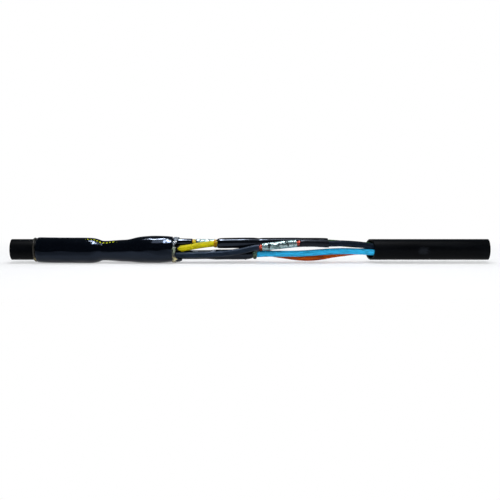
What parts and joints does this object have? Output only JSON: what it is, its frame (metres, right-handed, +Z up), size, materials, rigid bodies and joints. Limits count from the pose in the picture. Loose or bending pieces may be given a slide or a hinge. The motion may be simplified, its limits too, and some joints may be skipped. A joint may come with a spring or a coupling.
{
  "type": "heat shrink cable joint",
  "caption": "Straight heat shrink joint in a four core low voltage cable, cut away on one side to show crimped connectors, core sleeves and the glossy outer sleeve",
  "frame": {"origin": "under the middle of the sample, on the surface that the outer sleeve's bulge rests on", "axes": "+X along the cable from the outer sleeve to the bare right cable, -Y the side that is cut away, +Z up"},
  "size_m": [0.504, 0.029, 0.0287],
  "materials": {
    "sheath": "satin black",
    "covering": "dull black",
    "insulation_yellow_green": "satin, with a green stripe",
    "insulation_black": "satin",
    "insulation_blue": "satin",
    "insulation_brown": "satin",
    "copper": "bare stranded copper",
    "connector": "tinned, crimped",
    "core_sleeve": "glossy black heat shrink",
    "outer_sleeve": "glossy black heat shrink",
    "hot_melt": "olive to beige hot melt adhesive",
    "amber_adhesive": "amber hot melt adhesive",
    "grey_green_adhesive": "grey-green hot melt adhesive"
  },
  "bodies": {
    "root": {"left_sheath": "sheath", "left_inner_covering": "covering", "right_sheath": "sheath", "right_inner_covering": "covering", "yellow_core_left": "insulation_yellow_green", "black_core_left": "insulation_black", "blue_core_left": "insulation_blue", "brown_core_left": "insulation_brown", "yellow_core_right": "insulation_yellow_green", "black_core_right": "insulation_black", "blue_core_right": "insulation_blue", "brown_core_right": "insulation_brown", "yellow_conductor_left": "copper", "black_conductor_left": "copper", "blue_conductor_left": "copper", "brown_conductor_left": "copper", "yellow_conductor_right": "copper", "black_conductor_right": "copper", "blue_conductor_right": "copper", "brown_conductor_right": "copper", "yellow_connector": "connector", "black_connector": "connector", "blue_connector": "connector", "brown_connector": "connector", "yellow_sleeve": "core_sleeve", "black_sleeve_remnant": "core_sleeve", "blue_sleeve": "core_sleeve", "brown_sleeve_remnant": "core_sleeve", "outer_sleeve": "outer_sleeve", "sleeve_lining": "hot_melt", "cut_edge_adhesive": "hot_melt", "yellow_adhesive_ring": "amber_adhesive", "blue_adhesive_ring": "grey_green_adhesive", "brown_adhesive_ring": "amber_adhesive"}
  },
  "joints": []
}
